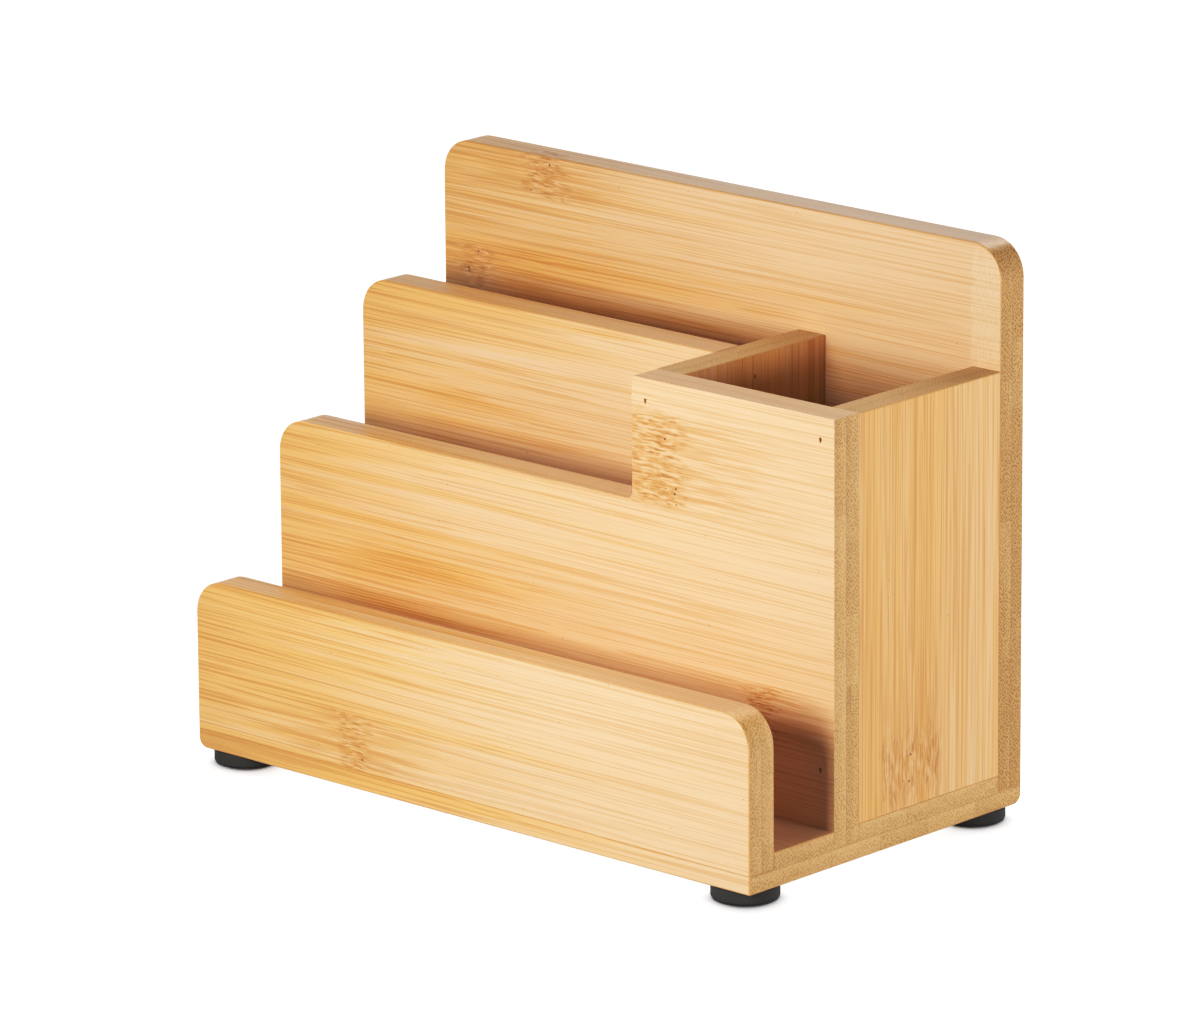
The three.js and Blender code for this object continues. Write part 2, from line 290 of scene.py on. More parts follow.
def bamboo_group():
    """Laminated bamboo as a solid texture: fibre bundles that run along the board show as streaks on its
    faces and as dots on its ends. Place is (along, across, through) in mm from the board's lowest
    corner."""
    g, given, out = new_group(
        "bamboo",
        [("Place", "Vector"), ("Seed", "Vector"), ("Strip offset", "Float"), ("End", "Float"),
         ("Tone", "Float"), ("End tone", "Float"), ("Eased", "Float"), ("Core", "Float"), ("Halo", "Float"),
         ("Scuff", "Float")],
        [("Color", "Color"), ("Roughness", "Float"), ("Height", "Float")],
    )
    core = given["Core"]
    halo = given["Halo"]
    _, across, through = g.parts(given["Place"])
    spot = g.vector("ADD", given["Place"], given["Seed"])

    # Plies and strips.
    ply = g.math("GREATER_THAN", through, PLY / MM)
    ply_depth = g.math("FRACT", g.math("DIVIDE", through, PLY / MM))
    shifted = g.math("MULTIPLY_ADD", ply, PLY_SHIFT, g.math("ADD", across, given["Strip offset"]))
    strip = g.math("DIVIDE", shifted, STRIP)
    joint = g.math("ABSOLUTE", g.math("SUBTRACT", g.math("FRACT", strip), 0.5))
    glue_line = g.step(joint, 0.4925, 0.499)
    chance = g.node(
        "ShaderNodeTexWhiteNoise",
        {"Vector": g.vector("ADD", g.combine(g.math("FLOOR", strip), ply, 0.0), given["Seed"])},
        noise_dimensions="3D",
    ).outputs["Value"]

    # Bundles wander slowly, and twist in a knuckle.
    wander = g.noise(g.vector("MULTIPLY", spot, (0.007, 0.13, 0.15)), detail=1)["Color"]
    wander = g.vector("MULTIPLY", g.vector("SUBTRACT", wander, (0.5, 0.5, 0.5)), (0.0, 2.2, 2.6))
    twist = g.noise(g.vector("MULTIPLY", spot, (0.20, 0.45, 0.4)), detail=2)["Color"]
    twist = g.vector("SUBTRACT", twist, (0.5, 0.5, 0.5))
    twisting = g.math("MULTIPLY", core, 1.3)
    twist = g.vector("MULTIPLY", twist, g.combine(0.0, twisting, twisting))
    bent = g.vector("ADD", spot, g.vector("ADD", wander, twist))
    _, bent_across, bent_through = g.parts(bent)
    upward = g.math("ADD", bent_across, bent_through)
    downward = g.math("SUBTRACT", bent_across, bent_through)
    section = g.combine(upward, downward, 0.0)
    section = g.vector("DIVIDE", section, (BUNDLES, BUNDLES, BUNDLES))
    bundle = g.cells(section, "2D", randomness=0.6)
    bundle_chance = g.parts(bundle["Color"])
    fade = g.noise(g.vector("MULTIPLY", spot, (0.022, 0.5, 0.5)), detail=1)["Fac"]
    streak = g.math("MULTIPLY", g.step(bundle["Distance"], 0.38, 0.14), g.step(bundle_chance[0], 0.25, 0.8))
    streak = g.math("MULTIPLY", streak, g.step(fade, 0.34, 0.58))
    dot = g.math("MULTIPLY", g.step(bundle["Distance"], 0.44, 0.16),
                 g.math("MULTIPLY_ADD", bundle_chance[1], 0.4, 0.6))

    # Bands of tone, from single fibres to a third of a strip.
    fine = g.noise(g.vector("MULTIPLY", bent, (0.022, 4.0, 4.0)), detail=2, roughness=0.6)["Fac"]
    line = g.noise(g.vector("MULTIPLY", bent, (0.009, 1.5, 1.3)), detail=1)["Fac"]
    thin = g.noise(g.vector("MULTIPLY", bent, (0.013, 2.8, 2.5)), detail=1)["Fac"]
    band = g.noise(g.vector("MULTIPLY", spot, (0.0060, 0.30, 0.30)), detail=1)["Fac"]
    broad = g.noise(g.vector("MULTIPLY", spot, (0.0055, 0.055, 0.12)), detail=1)["Fac"]
    # The given tone carries painted light too: a gradient along the board, lighter at the better lit end.
    tone = g.math("MULTIPLY_ADD", g.math("SUBTRACT", fine, 0.5), 0.66, given["Tone"])
    tone = g.math("MULTIPLY_ADD", g.math("SUBTRACT", band, 0.5), 0.55, tone)
    tone = g.math("MULTIPLY_ADD", g.math("SUBTRACT", broad, 0.5), 0.60, tone)
    tone = g.math("MULTIPLY_ADD", g.math("SUBTRACT", chance, 0.5), 0.20, tone)
    paleness = g.step(tone, 0.30, 0.88)
    face = g.mix(HONEY, PALE, paleness)
    face = g.mix(face, AMBER, g.math("MULTIPLY", g.step(tone, 0.32, 0.02), 0.7))
    drawn = g.math("MULTIPLY", g.step(thin, 0.55, 0.64), 0.8)
    drawn = g.math("MAXIMUM", g.step(line, 0.56, 0.65), drawn)
    drawn = g.math("MAXIMUM", drawn, streak)
    face = g.mix(face, LINE, g.math("MULTIPLY", drawn, g.math("MULTIPLY_ADD", paleness, -0.42, 0.78)))
    face = g.mix(face, BROWN, g.math("MULTIPLY", glue_line, 0.16))

    # A knuckle: short dark and light flecks, with streaks that fade away on both sides.
    smear = g.noise(g.vector("MULTIPLY", bent, (0.05, 1.25, 0.9)), detail=2)["Fac"]
    fleck = g.noise(g.vector("MULTIPLY", bent, (0.22, 1.7, 1.2)), detail=2, roughness=0.55)["Fac"]
    face = g.mix(face, LINE, g.math("MULTIPLY", g.step(smear, 0.38, 0.62), g.math("MULTIPLY", halo, 0.60)))
    face = g.mix(face, AMBER, g.math("MULTIPLY", core, 0.25))
    face = g.mix(face, PALE, g.math("MULTIPLY", g.step(fleck, 0.45, 0.36), g.math("MULTIPLY", core, 0.60)))
    face = g.mix(face, LINE, g.math("MULTIPLY", g.step(fleck, 0.49, 0.58), g.math("MULTIPLY", core, 0.72)))
    face = g.mix(face, BROWN, g.math("MULTIPLY", g.step(fleck, 0.58, 0.70), g.math("MULTIPLY", core, 0.70)))
    pore = g.cells(g.vector("MULTIPLY", spot, (0.28, 0.36, 0.36)))
    pore_chance = g.parts(pore["Color"])
    deep = g.math("MULTIPLY", g.step(pore["Distance"], 0.14, 0.08), g.step(pore_chance[0], 0.55, 0.6))
    face = g.mix(face, UMBER, g.math("MULTIPLY", deep, g.step(core, 0.45, 0.75)))
    speck = g.math("MULTIPLY", g.step(pore["Distance"], 0.075, 0.045), g.step(pore_chance[1], 0.80, 0.83))
    face = g.mix(face, BROWN, g.math("MULTIPLY", speck, 0.75))
    face = g.mix(face, RUBBED, g.math("MULTIPLY", given["Scuff"], 0.45))

    # Ends: dark dots in a tan ground, both deeper towards each ply's skin side.
    skin = g.step(ply_depth, 1.0, 0.1)
    cloud = g.noise(g.vector("MULTIPLY", spot, (0.1, 0.12, 0.5)), detail=2)["Fac"]
    depth = g.math("MULTIPLY_ADD", skin, 0.30, g.math("MULTIPLY_ADD", chance, 0.45, given["End tone"]))
    depth = g.math("MULTIPLY_ADD", g.math("SUBTRACT", cloud, 0.5), 0.7, depth, clamp=True)
    ground = g.mix(END_LIGHT, END_TAN, depth)
    end = g.mix(ground, END_DARK, g.math("MULTIPLY", dot, g.math("MULTIPLY_ADD", depth, 0.52, 0.34)))
    ply_line = g.step(g.math("ABSOLUTE", g.math("SUBTRACT", through, PLY / MM)), 0.22, 0.05)
    end = g.mix(end, END_DARK, g.math("MULTIPLY", g.math("MAXIMUM", ply_line, glue_line), 0.30))

    wood = g.mix(face, end, given["End"])
    wood = g.mix(wood, AMBER, g.math("MULTIPLY", given["Eased"], 0.50))
    g.feed(out["Color"], wood)

    rough = g.math("MULTIPLY_ADD", fine, 0.16, 0.34)
    rough = g.math("MULTIPLY_ADD", given["End"], 0.14, rough)
    g.feed(out["Roughness"], g.math("MULTIPLY_ADD", core, 0.05, rough))
    height = g.math("MULTIPLY_ADD", streak, -0.35, fine)
    height = g.math("MULTIPLY_ADD", g.math("MULTIPLY", dot, given["End"]), -0.7, height)
    height = g.math("MULTIPLY_ADD", g.math("MULTIPLY", deep, core), -3.0, height)
    g.feed(out["Height"], height)
    return g.tree


KNUCKLE = knuckle_group()
BAMBOO = bamboo_group()

# The frame's axes that run along, across and through a board.
ALONG_X_UPRIGHT = "xzy"
ALONG_X_FLAT = "xyz"
UPRIGHT_FIBRES = "zyx"


def scuffed(g, place, scuff):
    """A ragged patch of fine scratches. scuff is (along, across, half length, half width) in mm."""
    centre = (scuff[0], scuff[1], 0.0)
    ragged = g.noise(g.vector("MULTIPLY", place, (0.5, 0.2, 0.5)), detail=2)["Color"]
    ragged = g.vector("MULTIPLY", g.vector("SUBTRACT", ragged, (0.5, 0.5, 0.5)), (4.0, 12.0, 0.0))
    away = g.vector("SUBTRACT", g.vector("ADD", place, ragged), centre)
    away = g.vector("DIVIDE", away, (scuff[2], scuff[3], PLY / MM))
    along, across, through = g.parts(g.vector("ABSOLUTE", away))
    patch = g.math("MULTIPLY", g.step(across, 1.0, 0.7), g.step(through, 0.1, 0.05))
    patch = g.math("MULTIPLY", g.step(along, 1.0, 0.8), patch)
    scratch = g.noise(g.vector("MULTIPLY", place, (2.2, 0.35, 1.0)), detail=3, roughness=0.7)["Fac"]
    return g.math("MULTIPLY", patch, g.step(scratch, 0.38, 0.62, 0.25, 1.0))


def bamboo_material(
    name, node, axes, seed, strip_offset, knuckles, tone, painted_light_drift=0.0, end_tone=0.0, scuff=None
):
    """Bamboo for one board. Each knuckle is (along, across, half length, half width, ply) in mm. The wood
    gets lighter from its low end to its high end along the board: painted light, a gradient that stands in
    for the stronger light at that end."""
    material, g, shader = new_material(name)
    coordinates = g.node("ShaderNodeTexCoord").outputs
    low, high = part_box(node)
    from_origin = g.vector("SUBTRACT", coordinates["Object"], tuple(low))
    in_mm = g.parts(g.vector("DIVIDE", from_origin, (MM, MM, MM)))
    along, across, through = ("xyz".index(axis) for axis in axes)
    length = (high[along] - low[along]) / MM
    place = g.combine(in_mm[along], in_mm[across], in_mm[through])
    normal = g.parts(g.vector("ABSOLUTE", coordinates["Normal"]))
    core = halo = 0.0
    for knuckle_along, knuckle_across, half_length, half_width, ply in knuckles:
        mark = g.node("ShaderNodeGroup", node_tree=KNUCKLE)
        g.feed(mark.inputs["Place"], place)
        mark.inputs["Centre"].default_value = (knuckle_along, knuckle_across, (ply + 0.5) * PLY / MM)
        mark.inputs["Half size"].default_value = (half_length, half_width, 0.55 * PLY / MM)
        g.feed(mark.inputs["Core before"], core)
        g.feed(mark.inputs["Halo before"], halo)
        core = mark.outputs["Core"]
        halo = mark.outputs["Halo"]
    # Painted light: the tone rises along the board, so the wood turns lighter where the light is stronger.
    painted_light_tone = g.math("MULTIPLY_ADD", in_mm[along], painted_light_drift / length, tone - painted_light_drift / 2)
    wood = g.node("ShaderNodeGroup", node_tree=BAMBOO)
    wood.inputs["Seed"].default_value = [seed * stride for stride in SEED_STRIDE]
    for socket, value in {
        "Place": place,
        "Strip offset": strip_offset,
        "End": g.step(normal[along], 0.35, 0.7),
        "Tone": painted_light_tone,
        "End tone": end_tone,
        "Eased": g.node("ShaderNodeAttribute", attribute_name="eased").outputs["Fac"],
        "Core": core,
        "Halo": halo,
        "Scuff": scuffed(g, place, scuff) if scuff else 0.0,
    }.items():
        g.feed(wood.inputs[socket], value)
    bump = g.node(
        "ShaderNodeBump", {"Strength": 0.35, "Distance": GRAIN_DEPTH, "Height": wood.outputs["Height"]}
    )
    g.feed(shader.inputs["Base Color"], wood.outputs["Color"])
    g.feed(shader.inputs["Roughness"], wood.outputs["Roughness"])
    g.feed(shader.inputs["Normal"], bump.outputs["Normal"])
    shader.inputs["Coat Weight"].default_value = LACQUER
    shader.inputs["Coat Roughness"].default_value = LACQUER_ROUGHNESS
    return material


# ---------------------------------------------------------------- solids


def rounded(corners):
    """The points of an outline whose corners are (u, v, radius). A rounded corner is a right angle."""
    points = []
    for i, (u, v, radius) in enumerate(corners):
        corner = Vector((u, v))
        if not radius:
            points.append(corner)
            continue
        before = (Vector(corners[i - 1][:2]) - corner).normalized() * radius
        after = (Vector(corners[(i + 1) % len(corners)][:2]) - corner).normalized() * radius
        steps = round(math.pi / 2 / ARC_STEP)
        for k in range(steps + 1):
            turn = k / steps * math.pi / 2
            points.append(corner + before + after - after * math.cos(turn) - before * math.sin(turn))
    return points


def link(name, data):
    piece = bpy.data.objects.new(name, data)
    bpy.context.scene.collection.objects.link(piece)
    return piece


def slab(name, points, place, low, high):
    """A closed solid from an outline, swept from low to high. place turns (u, v, sweep) into a point."""
    made = bmesh.new()
    ends = [[made.verts.new(place(u, v, sweep)) for u, v in points] for sweep in (low, high)]
    made.faces.new(ends[0])
    made.faces.new(reversed(ends[1]))
    for i in range(len(points)):
        j = (i + 1) % len(points)
        made.faces.new((ends[0][j], ends[0][i], ends[1][i], ends[1][j]))
    bmesh.ops.recalc_face_normals(made, faces=made.faces)
    mesh = bpy.data.meshes.new(name)
    made.to_mesh(mesh)
    made.free()
    return link(name, mesh)


def in_xz(u, v, sweep):
    return (u, sweep, v)


def in_yz(u, v, sweep):
    return (sweep, u, v)


def box_slab(name, low, high):
    corners = [(low[0], low[2], 0), (high[0], low[2], 0), (high[0], high[2], 0), (low[0], high[2], 0)]
    return slab(name, rounded(corners), in_xz, low[1], high[1])


def apply_modifiers(piece):
    bpy.context.view_layer.update()
    shown = piece.evaluated_get(bpy.context.evaluated_depsgraph_get())
    mesh = bpy.data.meshes.new_from_object(shown)
    piece.modifiers.clear()
    old = piece.data
    piece.data = mesh
    mesh.name = old.name
    bpy.data.meshes.remove(old)


def combine(piece, operation, tool):
    """Cuts the tool out of the piece, or keeps what they share, and throws the tool away."""
    change = piece.modifiers.new("cut", "BOOLEAN")
    change.operation = operation
    change.solver = "EXACT"
    change.object = tool
    apply_modifiers(piece)
    bpy.data.objects.remove(tool)


# ---------------------------------------------------------------- sanded edges


BOARDS = ["base_board", "front_panel", "stepped_panel", "rear_divider", "back_panel", "cup_inner_wall",
          "cup_outer_wall"]


def solid(node):
    """A test for whether a point is inside that CAD node."""
    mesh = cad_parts[node].data
    tree = BVHTree.FromPolygons([v.co for v in mesh.vertices], [p.vertices for p in mesh.polygons])

    def inside(point):
        hits = 0
        hit = tree.ray_cast(point, SLANTED)[0]
        while hit:
            hits += 1
            hit = tree.ray_cast(hit + SLANTED * WELD, SLANTED)[0]
        return hits % 2 == 1

    return inside


SOLIDS = {node: solid(node) for node in BOARDS}


def lies_on_another(edge, others):
    middle = (edge.verts[0].co + edge.verts[1].co) / 2
    first, second = (face.normal for face in edge.link_faces)
    around = (first - second / 2, second - first / 2, first + second)
    return any(SOLIDS[other](middle + way * NEAR) for other in others for way in around)


def ease_edges(piece, node):
    """Rounds the edges that a hand can reach. An edge that lies on another board gets only a hairline, so
    that flush boards meet in a fine seam. The rounded faces are marked as eased."""
    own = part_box(node)
    others = [other for other in BOARDS if other != node]
    made = bmesh.new()
    made.from_mesh(piece.data)
    bmesh.ops.remove_doubles(made, verts=made.verts, dist=WELD)
    bmesh.ops.dissolve_limit(made, angle_limit=FLAT, verts=made.verts, edges=made.edges)
    for axis in range(3):
        normal = Vector([float(k == axis) for k in range(3)])
        sides = {round(side[axis], 6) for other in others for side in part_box(other)}
        for at in sorted(sides):
            if own[0][axis] + NEAR < at < own[1][axis] - NEAR:
                bmesh.ops.bisect_plane(
                    made,
                    geom=made.verts[:] + made.edges[:] + made.faces[:],
                    dist=ON_PLANE,
                    plane_co=normal * at,
                    plane_no=normal,
                )
    made.normal_update()
    weight = made.edges.layers.float.new("bevel_weight_edge")
    for edge in made.edges:
        if len(edge.link_faces) == 2 and edge.calc_face_angle(0) > SHARP:
            edge[weight] = SEAM / EASE if lies_on_another(edge, others) else 1.0
    made.to_mesh(piece.data)
    made.free()
    # The bevel gives its new faces the second of these empty slots.
    for _ in range(2):
        piece.data.materials.append(None)
    ease = piece.modifiers.new("eased edges", "BEVEL")
    ease.limit_method = "WEIGHT"
    ease.width = EASE
    ease.segments = EASE_STEPS
    ease.material = 1
    apply_modifiers(piece)
    eased = piece.data.attributes.new("eased", "FLOAT", "FACE")
    for polygon in piece.data.polygons:
        eased.data[polygon.index].value = float(polygon.material_index)
        polygon.material_index = 0


def shade(piece):
    for polygon in piece.data.polygons:
        polygon.use_smooth = True
    piece.data.set_sharp_from_angle(angle=CREASE)
    weigh = piece.modifiers.new("flat faces", "WEIGHTED_NORMAL")
    weigh.keep_sharp = True
    weigh.weight = 100
    apply_modifiers(piece)


# ---------------------------------------------------------------- brad marks


def pit_cutter(name, at, inward, long_way, number):
    """A torn, closing mark like a drop, wider at one end, that narrows with depth."""
    side_way = inward.cross(long_way)
    made = bmesh.new()
    rings = []
    for depth, size in PIT_RINGS:
        ring = []
        for k in range(PIT_SIDES):
            turn = 2 * math.pi * k / PIT_SIDES
            ragged = 1 + 0.10 * math.sin(3 * turn + number) + 0.07 * math.sin(5 * turn + 2.3 * number)
            half_width = PIT_WIDTH / 2 * (1 + 0.55 * math.cos(turn)) * ragged * size
            across = half_width * math.sin(turn)
            lengthways = PIT_LENGTH / 2 * math.cos(turn) * size * (1 - 0.25 * depth / PIT_DEPTH)
            ring.append(made.verts.new(at + inward * depth + long_way * lengthways + side_way * across))
        rings.append(ring)
    made.faces.new(rings[0])
    made.faces.new(reversed(rings[-1]))
    for upper, lower in zip(rings, rings[1:]):
        for k in range(PIT_SIDES):
            made.faces.new((upper[k], lower[k], lower[k - 1], upper[k - 1]))
    bmesh.ops.recalc_face_normals(made, faces=made.faces)
    mesh = bpy.data.meshes.new(name)
    made.to_mesh(mesh)
    made.free()
    return link(name, mesh)


def mark_brads(piece, node, prefix, axis, side):
    """Marks where the brads with that name were driven into a board's face. side is 0 for its low face and
    1 for its high face."""
    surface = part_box(node)[side][axis]
    inward = Vector([0, 0, 0])
    inward[axis] = 1 if side == 0 else -1
    for number, brad in enumerate(sorted(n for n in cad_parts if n.startswith(prefix))):
        low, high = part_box(brad)
        at = (low + high) / 2
        at[axis] = surface
        size = high - low
        size[axis] = 0
        long_way = Vector([1.0 if size[k] == max(size) else 0.0 for k in range(3)])
        combine(piece, "DIFFERENCE", pit_cutter("pit", at, inward, long_way, number))


# ---------------------------------------------------------------- boards


def finish_board(piece, node, material):
    piece.data.materials.clear()
    piece.data.materials.append(material)
    shade(piece)
    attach(piece, "root")
    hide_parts(node)


def upright(node, corners):
    low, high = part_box(node)
    piece = slab(node + "_bamboo", rounded(corners), in_xz, low.y, high.y)
    ease_edges(piece, node)
    return piece


def plain_upright(node, right_radius):
    low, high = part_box(node)
    return upright(node, [
        (low.x, low.z, 0),
        (high.x, low.z, 0),
        (high.x, high.z, right_radius),
        (low.x, high.z, CORNER_RADIUS),
    ])


def stepped_upright(node):
    low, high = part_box(node)
    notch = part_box("cup_inner_wall")[0].x
    return upright(node, [
        (low.x, low.z, 0),
        (high.x, low.z, 0),
        (high.x, high.z, 0),
        (notch, high.z, RIM_RADIUS),
        (notch, STEP_TOP, NOTCH_FILLET),
        (low.x, STEP_TOP, CORNER_RADIUS),
    ])


def base(node):
    """The base: rabbets for the front and back panels, housings for the other two uprights."""
    low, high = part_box(node)
    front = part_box("front_panel")
    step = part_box("stepped_panel")
    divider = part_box("rear_divider")
    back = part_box("back_panel")
    tongue = front[0].z
    section = rounded([
        (low.y, low.z, 0),
        (high.y, low.z, BASE_ROUND),
        (high.y, tongue, 0),
        (back[0].y, tongue, 0),
        (back[0].y, high.z, 0),
        (step[1].y, high.z, 0),
        (step[1].y, tongue, 0),
        (step[0].y, tongue, 0),
        (step[0].y, high.z, 0),
        (front[1].y, high.z, 0),
        (front[1].y, tongue, 0),
        (low.y, tongue, 0),
    ])
    piece = slab(node + "_bamboo", section, in_yz, low.x, high.x)
    lengthways = rounded([
        (low.x, low.z, BASE_ROUND),
        (high.x, low.z, 0),
        (high.x, high.z + PAST, 0),
        (low.x, high.z + PAST, 0),
    ])
    combine(piece, "INTERSECT", slab("ends", lengthways, in_xz, low.y - PAST, high.y + PAST))
    housing_low = (low.x - PAST, divider[0].y, tongue)
    housing_high = (divider[1].x, divider[1].y, high.z + PAST)
    combine(piece, "DIFFERENCE", box_slab("housing", housing_low, housing_high))
    ease_edges(piece, node)
    return piece


def step_top(node):
    """The height of the stepped panel's low part: its highest point left of the cup."""
    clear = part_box("cup_inner_wall")[0].x - 2 * NOTCH_FILLET
    return max(v.co.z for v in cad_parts[node].data.vertices if v.co.x < clear)


STEP_TOP = step_top("stepped_panel")


# Each board but the two cup walls gets a painted light gradient: its wood turns lighter towards the
# right-hand end, where the light is stronger.
def build_boards():
    front = plain_upright("front_panel", CORNER_RADIUS)
    finish_board(front, "front_panel", bamboo_material(
        "bamboo_front", "front_panel", ALONG_X_UPRIGHT, 1, 4.0,
        [(62, 8, 6, 9, 0), (150, 30, 5, 9, 1)], tone=0.70, painted_light_drift=0.72))

    step = stepped_upright("stepped_panel")
    mark_brads(step, "stepped_panel", "brad_cup_front", 1, 0)
    finish_board(step, "stepped_panel", bamboo_material(
        "bamboo_step", "stepped_panel", ALONG_X_UPRIGHT, 2, 7.0,
        [(145, 98, 10, 14, 0), (184, 33, 6, 8, 0), (70, 60, 6, 9, 1)], tone=0.78, painted_light_drift=0.66))

    divider = plain_upright("rear_divider", 0)
    finish_board(divider, "rear_divider", bamboo_material(
        "bamboo_divider", "rear_divider", ALONG_X_UPRIGHT, 3, 11.0,
        [(100, 40, 6, 9, 0), (40, 80, 6, 9, 1)], tone=0.76, painted_light_drift=0.72))

    back = plain_upright("back_panel", CORNER_RADIUS)
    mark_brads(back, "back_panel", "brad_cup_back", 1, 1)
    finish_board(back, "back_panel", bamboo_material(
        "bamboo_back", "back_panel", ALONG_X_UPRIGHT, 4, 3.0,
        [(40, 151, 7, 9, 0), (13, 116, 6, 9, 0), (60, 35, 6, 9, 1), (150, 95, 6, 9, 1), (30, 115, 5, 9, 1)],
        tone=0.70, painted_light_drift=0.66, end_tone=0.55, scuff=(205, 136, 6, 17)))

    flat = base("base_board")
    mark_brads(flat, "base_board", "brad_base", 2, 0)
    finish_board(flat, "base_board", bamboo_material(
        "bamboo_base", "base_board", ALONG_X_FLAT, 5, 6.35,
        [(120, 50, 6, 9, 0), (40, 90, 6, 9, 0)], tone=0.56, painted_light_drift=0.92))

    for node, seed, prefix, tone, knuckles in (
        ("cup_inner_wall", 6, "brad_divider", 0.42, [(40, 30, 6, 9, 0)]),
        ("cup_outer_wall", 7, None, 0.50, [(12, 22, 9, 13, 1)]),
    ):
        low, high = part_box(node)
        wall = box_slab(node + "_bamboo", low, high)
        ease_edges(wall, node)
        if prefix:
            mark_brads(wall, node, prefix, 0, 1)
        finish_board(wall, node, bamboo_material(
            "bamboo_" + node, node, UPRIGHT_FIBRES, seed, 9.0, knuckles, tone=tone, end_tone=-0.4))


# ---------------------------------------------------------------- feet and brads


def foam_material():
    material, g, shader = new_material("foam")
    place = g.node("ShaderNodeTexCoord").outputs["Object"]
    in_mm = g.node("ShaderNodeVectorMath", operation="SCALE")
    g.feed(in_mm.inputs[0], place)
    in_mm.inputs["Scale"].default_value = 1 / MM
    place = in_mm.outputs[0]
    skin = g.noise(g.vector("MULTIPLY", place, (2.2, 2.2, 2.2)), detail=3, roughness=0.7)["Fac"]
    dust = g.cells(g.vector("MULTIPLY", place, (0.9, 0.9, 0.9)))
    dust_chance = g.parts(dust["Color"])[0]
    grain = g.math("MULTIPLY", g.step(dust["Distance"], 0.10, 0.05), g.step(dust_chance, 0.7, 0.72))
    colour = g.mix(FOAM, FOAM_WORN, g.step(skin, 0.45, 0.75))
    colour = g.mix(colour, DUST, g.math("MULTIPLY", grain, 0.7))
    g.feed(shader.inputs["Base Color"], colour)
    g.feed(shader.inputs["Roughness"], g.step(skin, 0.2, 0.8, 0.78, 0.95))
    bump = g.node("ShaderNodeBump", {"Strength": 0.5, "Distance": FOAM_DEPTH, "Height": skin})
    g.feed(shader.inputs["Normal"], bump.outputs["Normal"])
    return material


def adhesive_material():
    material, g, shader = new_material("adhesive")
    place = g.node("ShaderNodeTexCoord").outputs["Object"]
    smear = g.noise(g.vector("MULTIPLY", place, (900, 900, 900)), detail=2)["Fac"]
    g.feed(shader.inputs["Base Color"], g.mix(ADHESIVE, ADHESIVE_HAZE, smear))
    g.feed(shader.inputs["Roughness"], g.step(smear, 0.2, 0.8, 0.4, 0.6))
    return material


def steel_material():
    material, g, shader = new_material("steel")
    place = g.node("ShaderNodeTexCoord").outputs["Object"]
    drawn = g.noise(g.vector("MULTIPLY", place, (6000, 6000, 6000)), detail=2)["Fac"]
    g.feed(shader.inputs["Base Color"], g.mix(STEEL, STEEL_DARK, drawn))
    g.feed(shader.inputs["Roughness"], g.step(drawn, 0.2, 0.8, 0.3, 0.5))
    shader.inputs["Metallic"].default_value = 1.0
    return material


def turned(name, centre, profile):
    """A solid turned about a vertical axis through centre. profile is (radius, height), axis to axis."""
    made = bmesh.new()
    rings = []
    for radius, height in profile:
        if radius == 0:
            rings.append([made.verts.new((centre.x, centre.y, height))])
            continue
        rings.append([
            made.verts.new((
                centre.x + radius * math.cos(2 * math.pi * k / SIDES),
                centre.y + radius * math.sin(2 * math.pi * k / SIDES),
                height,
            ))
            for k in range(SIDES)
        ])
    for lower, upper in zip(rings, rings[1:]):
        for k in range(SIDES):
            corners = [
                lower[k % len(lower)],
                lower[(k + 1) % len(lower)],
                upper[(k + 1) % len(upper)],
                upper[k % len(upper)],
            ]
            made.faces.new(list(dict.fromkeys(corners)))
    bmesh.ops.recalc_face_normals(made, faces=made.faces)
    mesh = bpy.data.meshes.new(name)
    made.to_mesh(mesh)
    made.free()
    return link(name, mesh)


def pad_profile(radius, low, high):
    """A pad's half section: a soft lower edge, a straight side and a tighter top edge."""
    points = [(0, low), (radius * 0.5, low)]
    for k in range(SOLE_STEPS + 1):
        turn = k / SOLE_STEPS * math.pi / 2
        points.append((
            radius - PAD_SOLE + PAD_SOLE * math.sin(turn),
            low + PAD_SOLE - PAD_SOLE * math.cos(turn),
        ))
    points.append((radius, low + 0.55 * (high - low)))
    for k in range(SHOULDER_STEPS + 1):
        turn = k / SHOULDER_STEPS * math.pi / 2
        points.append((
            radius - PAD_SHOULDER * 0.4 * (1 - math.cos(turn)),
            high - PAD_SHOULDER * (1 - math.sin(turn)),
        ))
    points.append((radius * 0.5, high))
    points.append((0, high))
    return points


def build_feet():
    foam = foam_material()
    glue = adhesive_material()
    pads = []
    for node in sorted(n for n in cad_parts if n.startswith("foot_")):
        low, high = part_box(node)
        centre = (low + high) / 2
        radius = (high.x - low.x) / 2
        is_pad = node.startswith("foot_pad")
        if is_pad:
            profile = pad_profile(radius, low.z, high.z)
        else:
            profile = [
                (0, low.z),
                (radius - TAPE_EASE, low.z),
                (radius, low.z + TAPE_EASE),
                (radius, high.z - TAPE_EASE),
                (radius - TAPE_EASE, high.z),
                (0, high.z),
            ]
        piece = turned(node + "_round", centre, profile)
        piece.data.materials.append(foam if is_pad else glue)
        shade(piece)
        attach(piece, "root")
        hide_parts(node)
        if is_pad:
            pads.append(piece)
    return pads


def dress_brads():
    steel = steel_material()
    for node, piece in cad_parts.items():
        if node.startswith("brad_"):
            for material_slot in piece.material_slots:
                material_slot.material = steel


# ---------------------------------------------------------------- studio


def direction(azimuth, elevation):
    """From the object towards a place at that bearing, with 0 in front of it and 90 to its right."""
    a = math.radians(azimuth)
    e = math.radians(elevation)
    return Vector((math.sin(a) * math.cos(e), -math.cos(a) * math.cos(e), math.sin(e)))


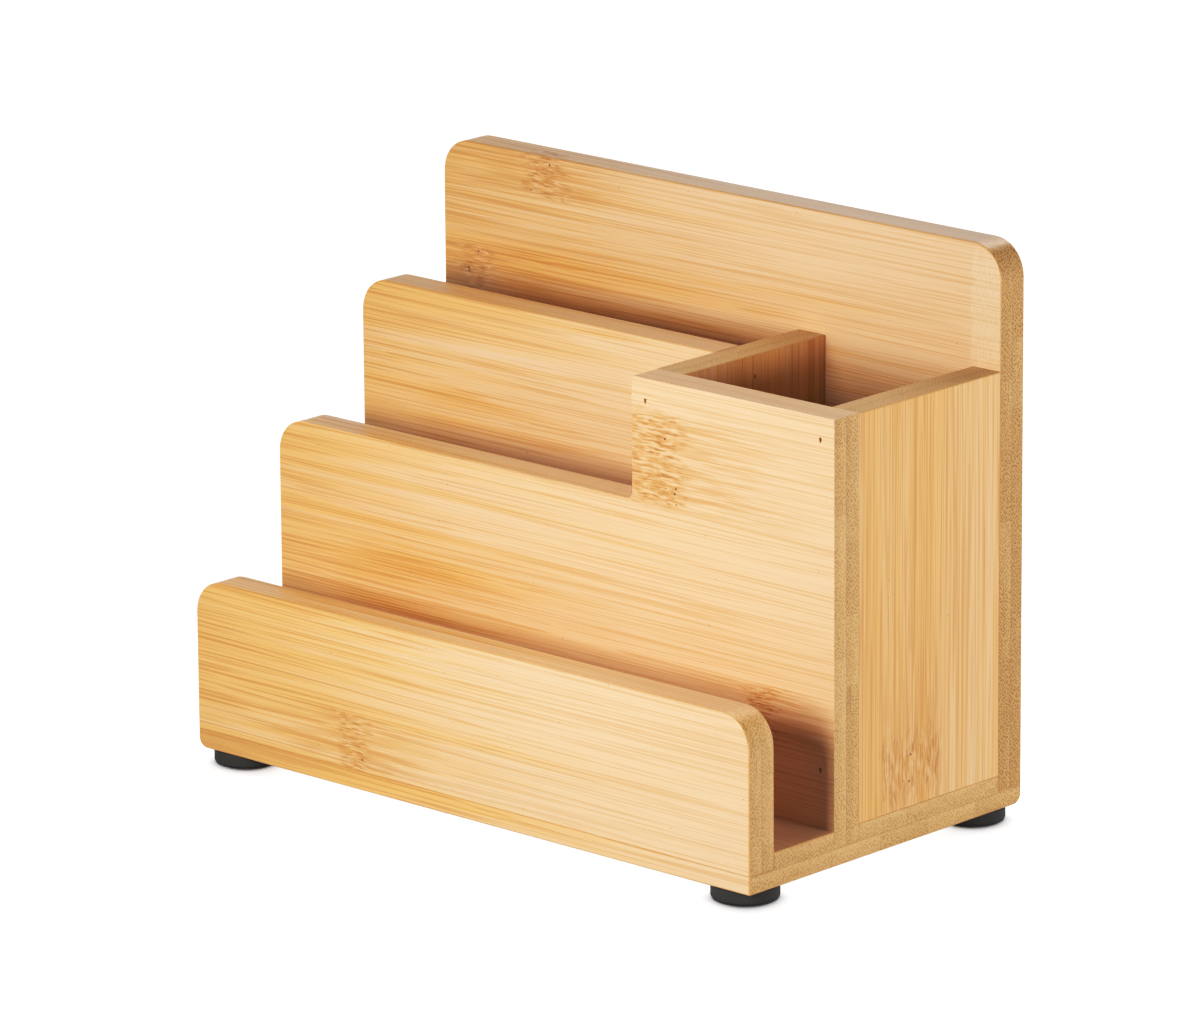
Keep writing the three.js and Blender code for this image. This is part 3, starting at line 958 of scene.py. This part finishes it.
def add_camera():
    data = bpy.data.cameras.new("camera")
    data.lens = VIEW_LENS
    data.sensor_width = 36
    camera = link("camera", data)
    low, high = cad_box
    target = (Vector(low) + Vector(high)) / 2 + VIEW_CENTRE_SHIFT
    back = direction(VIEW_AZIMUTH, VIEW_ELEVATION)
    camera.location = target + back * VIEW_DISTANCE
    turn = back.to_track_quat("Z", "Y").to_matrix() @ Matrix.Rotation(math.radians(VIEW_ROLL), 3, "Z")
    camera.rotation_euler = turn.to_euler()
    bpy.context.scene.camera = camera


def lamp_towards(name, data, azimuth, elevation, distance):
    """A lamp that points at the object from that bearing."""
    lamp = link(name, data)
    low, high = cad_box
    way = direction(azimuth, elevation)
    lamp.location = (Vector(low) + Vector(high)) / 2 + way * distance
    lamp.rotation_euler = way.to_track_quat("Z", "Y").to_euler()
    return lamp


def softbox(name, azimuth, elevation, distance, size, power):
    data = bpy.data.lights.new(name, "AREA")
    data.shape = "SQUARE"
    data.size = size
    data.energy = power
    return lamp_towards(name, data, azimuth, elevation, distance)


def add_floor():
    made = bmesh.new()
    bmesh.ops.create_grid(made, x_segments=8, y_segments=8, size=FLOOR_REACH)
    mesh = bpy.data.meshes.new("floor")
    made.to_mesh(mesh)
    made.free()
    floor = link("floor", mesh)
    material, g, shader = new_material("floor")
    place = g.node("ShaderNodeTexCoord").outputs["Object"]
    cloud = g.noise(g.vector("MULTIPLY", place, (3, 3, 3)), detail=2)["Fac"]
    g.feed(shader.inputs["Base Color"], g.mix(FLOOR_WHITE, FLOOR_BRIGHT, cloud))
    shader.inputs["Roughness"].default_value = 0.9
    mesh.materials.append(material)
    return floor


def add_light(floor, pads):
    """Softboxes for the object. The floor has its own even light, which only the pads shade, so that it
    stays white with a soft shadow at each pad."""
    all_but_floor = bpy.data.collections.new("all_but_floor")
    all_but_floor.objects.link(floor)
    all_but_floor.collection_objects[0].light_linking.link_state = "EXCLUDE"
    for name, azimuth, elevation, distance, size, power in SOFTBOXES:
        lamp = softbox(name, azimuth, elevation, distance, size, power)
        lamp.light_linking.receiver_collection = all_but_floor
    world = bpy.data.worlds.new("studio")
    world.use_nodes = True
    world.node_tree.nodes["Background"].inputs["Color"].default_value = (*WORLD_COLOUR, 1)
    world.node_tree.nodes["Background"].inputs["Strength"].default_value = WORLD_STRENGTH
    bpy.context.scene.world = world
    wash = bpy.data.lights.new("floor_wash", "SUN")
    wash.energy = WASH_STRENGTH
    wash.angle = math.radians(WASH_SPREAD)
    lamp = lamp_towards("floor_wash", wash, WASH_BEARING, WASH_ELEVATION, 1)
    lit = bpy.data.collections.new("lit_by_floor_wash")
    lit.objects.link(floor)
    lamp.light_linking.receiver_collection = lit
    shading = bpy.data.collections.new("shading_floor_wash")
    for piece in pads:
        shading.objects.link(piece)
    lamp.light_linking.blocker_collection = shading
    floor.visible_diffuse = False  # the white floor shows in the lacquer, but doesn't light the object


def film_response():
    """A photograph's contrast: steeper in the shadows, and soft in the highlights."""
    view = bpy.context.scene.view_settings
    view.view_transform = "Standard"
    view.use_curve_mapping = True
    curve = view.curve_mapping.curves[3]
    for light in FILM_LEVELS:
        powered = light ** FILM_CONTRAST
        response = powered * (1 + FILM_SHOULDER) / (powered + FILM_SHOULDER)
        curve.points.new(light, response + FILM_TOE * light * math.exp(-light / FILM_TOE_REACH))
    view.curve_mapping.update()


film_response()
add_camera()
build_boards()
dress_brads()
add_light(add_floor(), build_feet())
